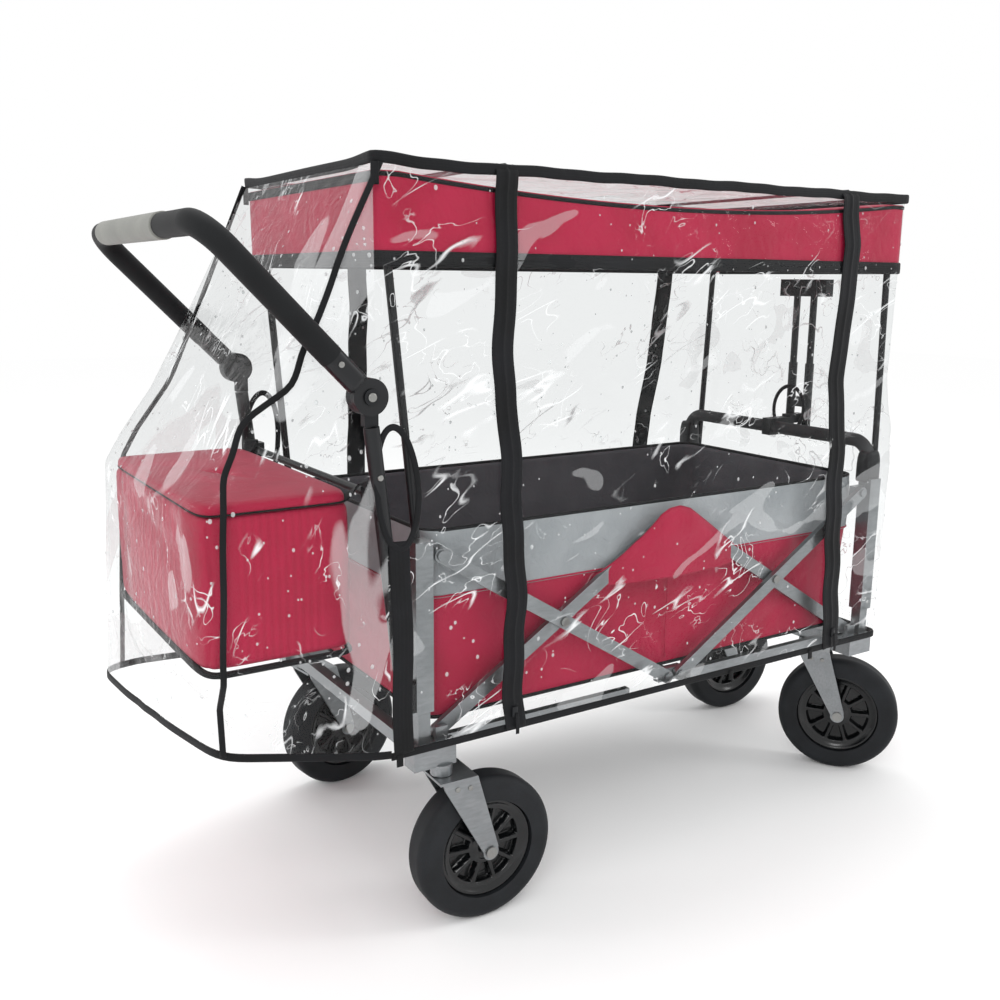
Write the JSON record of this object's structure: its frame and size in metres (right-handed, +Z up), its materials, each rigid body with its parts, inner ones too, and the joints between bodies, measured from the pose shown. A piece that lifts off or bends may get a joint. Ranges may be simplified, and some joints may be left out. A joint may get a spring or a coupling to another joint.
{
  "type": "folding stroller wagon",
  "caption": "Folding fabric wagon on swivel casters with a push handle, a stowed pull handle, a flat canopy, a rear bag and a clear rain cover.",
  "frame": {"origin": "on the floor, under the centre of the bounding box", "axes": "+X towards the front (pull handle end), +Y to the left, +Z up"},
  "size_m": [1.4763, 0.6078, 1.112],
  "materials": {
    "aluminium": "satin extruded",
    "steel": "zinc plated",
    "black_tube": "satin powder coat",
    "black_plastic": "moulded",
    "foam": "fine foam skin",
    "tyre": "matt",
    "rim_plastic": "moulded",
    "red_fabric": "coated polyester",
    "mat_fabric": "woven",
    "clear_film": "clear glossy film"
  },
  "bodies": {
    "rear_frame": {"rear_corner_bracket_left": "aluminium", "rear_corner_bracket_right": "aluminium", "rear_posts": "aluminium", "rear_cross_tube": "aluminium", "rear_floor_rails": "aluminium"},
    "rear_rising_links": {"rear_rising_link_left": "aluminium", "rear_rising_link_right": "aluminium", "rear_crossing_rivets": "steel"},
    "rear_falling_links": {"rear_falling_link_left": "aluminium", "rear_falling_link_right": "aluminium"},
    "rear_carriage": {"rear_slide_tubes": "aluminium", "handle_stays": "black_tube", "handle_hubs": "black_plastic", "rear_rail": "black_tube", "rear_canopy_bow": "black_tube", "basket": "red_fabric", "floor_mat": "mat_fabric", "canopy": "red_fabric", "rain_cover_body": "clear_film", "rain_cover_tail": "clear_film", "rear_bag": "red_fabric", "bag_lid": "red_fabric"},
    "top_hinges": {"top_hinge_brackets": "aluminium"},
    "centre_bar": {"bottom_crossbar": "aluminium"},
    "front_falling_links": {"front_falling_link_left": "aluminium", "front_falling_link_right": "aluminium", "front_crossing_rivets": "steel"},
    "front_rising_links": {"front_rising_link_left": "aluminium", "front_rising_link_right": "aluminium"},
    "front_frame": {"front_corner_bracket_left": "aluminium", "front_corner_bracket_right": "aluminium", "front_posts": "aluminium", "front_cross_tube": "aluminium", "front_floor_rails": "aluminium"},
    "front_carriage": {"front_slide_tubes": "aluminium", "front_end_rail": "foam", "front_canopy_bow": "black_tube", "pull_handle_mount": "black_plastic"},
    "push_handle_arm": {"push_handle": "black_tube", "push_handle_grip": "foam"},
    "hub_button_left": {"hub_button_left": "black_plastic"},
    "hub_button_right": {"hub_button_right": "black_plastic"},
    "pull_handle_outer": {"pull_handle_sleeves": "aluminium"},
    "pull_handle_inner": {"pull_handle_grip": "black_plastic"},
    "rear_right_caster": {"rear_right_fork": "aluminium", "rear_right_axle": "steel"},
    "rear_right_wheel": {"rear_right_rim": "rim_plastic", "rear_right_tyre": "tyre"},
    "rear_left_caster": {"rear_left_fork": "aluminium", "rear_left_axle": "steel"},
    "rear_left_wheel": {"rear_left_rim": "rim_plastic", "rear_left_tyre": "tyre"},
    "front_right_caster": {"front_right_fork": "aluminium", "front_right_axle": "steel"},
    "front_right_wheel": {"front_right_rim": "rim_plastic", "front_right_tyre": "tyre"},
    "front_left_caster": {"front_left_fork": "aluminium", "front_left_axle": "steel"},
    "front_left_wheel": {"front_left_rim": "rim_plastic", "front_left_tyre": "tyre"}
  },
  "joints": [
    {"name": "frame_fold", "type": "hinge", "parent": "centre_bar", "child": "rear_falling_links", "pos_m": [0.083, 0, 0.31], "axis": [0, 1, 0], "range_deg": [0, 36], "deforming": ["basket", "floor_mat", "canopy", "rain_cover_body"]},
    {"name": "rear_crossing", "type": "hinge", "parent": "rear_falling_links", "child": "rear_rising_links", "pos_m": [-0.135, 0, 0.445], "axis": [0, -1, 0], "range_deg": [0, 72]},
    {"name": "rear_frame_level", "type": "hinge", "parent": "rear_rising_links", "child": "rear_frame", "pos_m": [-0.353, 0, 0.31], "axis": [0, 1, 0], "range_deg": [0, 36]},
    {"name": "rear_carriage_level", "type": "hinge", "parent": "rear_falling_links", "child": "rear_carriage", "pos_m": [-0.353, 0, 0.58], "axis": [0, -1, 0], "range_deg": [0, 36]},
    {"name": "top_hinge_level", "type": "hinge", "parent": "rear_rising_links", "child": "top_hinges", "pos_m": [0.083, 0, 0.58], "axis": [0, 1, 0], "range_deg": [0, 36]},
    {"name": "front_link_turn", "type": "hinge", "parent": "centre_bar", "child": "front_rising_links", "pos_m": [0.111, 0, 0.31], "axis": [0, -1, 0], "range_deg": [0, 36]},
    {"name": "front_crossing", "type": "hinge", "parent": "front_rising_links", "child": "front_falling_links", "pos_m": [0.329, 0, 0.445], "axis": [0, 1, 0], "range_deg": [0, 72]},
    {"name": "front_frame_level", "type": "hinge", "parent": "front_falling_links", "child": "front_frame", "pos_m": [0.547, 0, 0.31], "axis": [0, -1, 0], "range_deg": [0, 36]},
    {"name": "front_carriage_level", "type": "hinge", "parent": "front_rising_links", "child": "front_carriage", "pos_m": [0.547, 0, 0.58], "axis": [0, 1, 0], "range_deg": [0, 36]},
    {"name": "push_handle_tilt", "type": "hinge", "parent": "rear_carriage", "child": "push_handle_arm", "pos_m": [-0.465, 0, 0.812], "axis": [0, 1, 0], "range_deg": [-65, 34]},
    {"name": "hub_button_left_press", "type": "slide", "parent": "push_handle_arm", "child": "hub_button_left", "axis": [0, -1, 0], "range_m": [0, 0.003], "stiffness_N_per_m": 300},
    {"name": "hub_button_right_press", "type": "slide", "parent": "push_handle_arm", "child": "hub_button_right", "axis": [0, 1, 0], "range_m": [0, 0.003], "stiffness_N_per_m": 300},
    {"name": "pull_handle_tilt", "type": "hinge", "parent": "front_carriage", "child": "pull_handle_outer", "pos_m": [0.653, 0, 0.686], "axis": [0, 1, 0], "range_deg": [0, 100]},
    {"name": "pull_handle_extend", "type": "slide", "parent": "pull_handle_outer", "child": "pull_handle_inner", "axis": [0, 0, 1], "range_m": [0, 0.11]},
    {"name": "rear_right_swivel", "type": "hinge", "parent": "rear_frame", "child": "rear_right_caster", "pos_m": [-0.353, -0.258, 0.25], "axis": [0, 0, 1], "continuous": true},
    {"name": "rear_right_spin", "type": "hinge", "parent": "rear_right_caster", "child": "rear_right_wheel", "pos_m": [-0.28604, -0.26034, 0.115], "axis": [0.0349, 0.9994, 0], "continuous": true},
    {"name": "rear_left_swivel", "type": "hinge", "parent": "rear_frame", "child": "rear_left_caster", "pos_m": [-0.353, 0.258, 0.25], "axis": [0, 0, 1], "continuous": true},
    {"name": "rear_left_spin", "type": "hinge", "parent": "rear_left_caster", "child": "rear_left_wheel", "pos_m": [-0.28665, 0.26732, 0.115], "axis": [-0.1392, 0.9903, 0], "continuous": true},
    {"name": "front_right_swivel", "type": "hinge", "parent": "front_frame", "child": "front_right_caster", "pos_m": [0.556, -0.15, 0.25], "axis": [0, 0, 1], "continuous": true},
    {"name": "front_right_spin", "type": "hinge", "parent": "front_right_caster", "child": "front_right_wheel", "pos_m": [0.59816, -0.20207, 0.115], "axis": [0.7771, 0.6293, 0], "continuous": true},
    {"name": "front_left_swivel", "type": "hinge", "parent": "front_frame", "child": "front_left_caster", "pos_m": [0.556, 0.15, 0.25], "axis": [0, 0, 1], "continuous": true},
    {"name": "front_left_spin", "type": "hinge", "parent": "front_left_caster", "child": "front_left_wheel", "pos_m": [0.62274, 0.14416, 0.115], "axis": [0.0872, 0.9962, 0], "continuous": true}
  ],
  "couplings": [
    {"joint": "rear_crossing", "follows": "frame_fold", "ratio": 2},
    {"joint": "rear_frame_level", "follows": "frame_fold", "ratio": 1},
    {"joint": "rear_carriage_level", "follows": "frame_fold", "ratio": 1},
    {"joint": "top_hinge_level", "follows": "frame_fold", "ratio": 1},
    {"joint": "front_link_turn", "follows": "frame_fold", "ratio": 1},
    {"joint": "front_crossing", "follows": "frame_fold", "ratio": 2},
    {"joint": "front_frame_level", "follows": "frame_fold", "ratio": 1},
    {"joint": "front_carriage_level", "follows": "frame_fold", "ratio": 1}
  ]
}
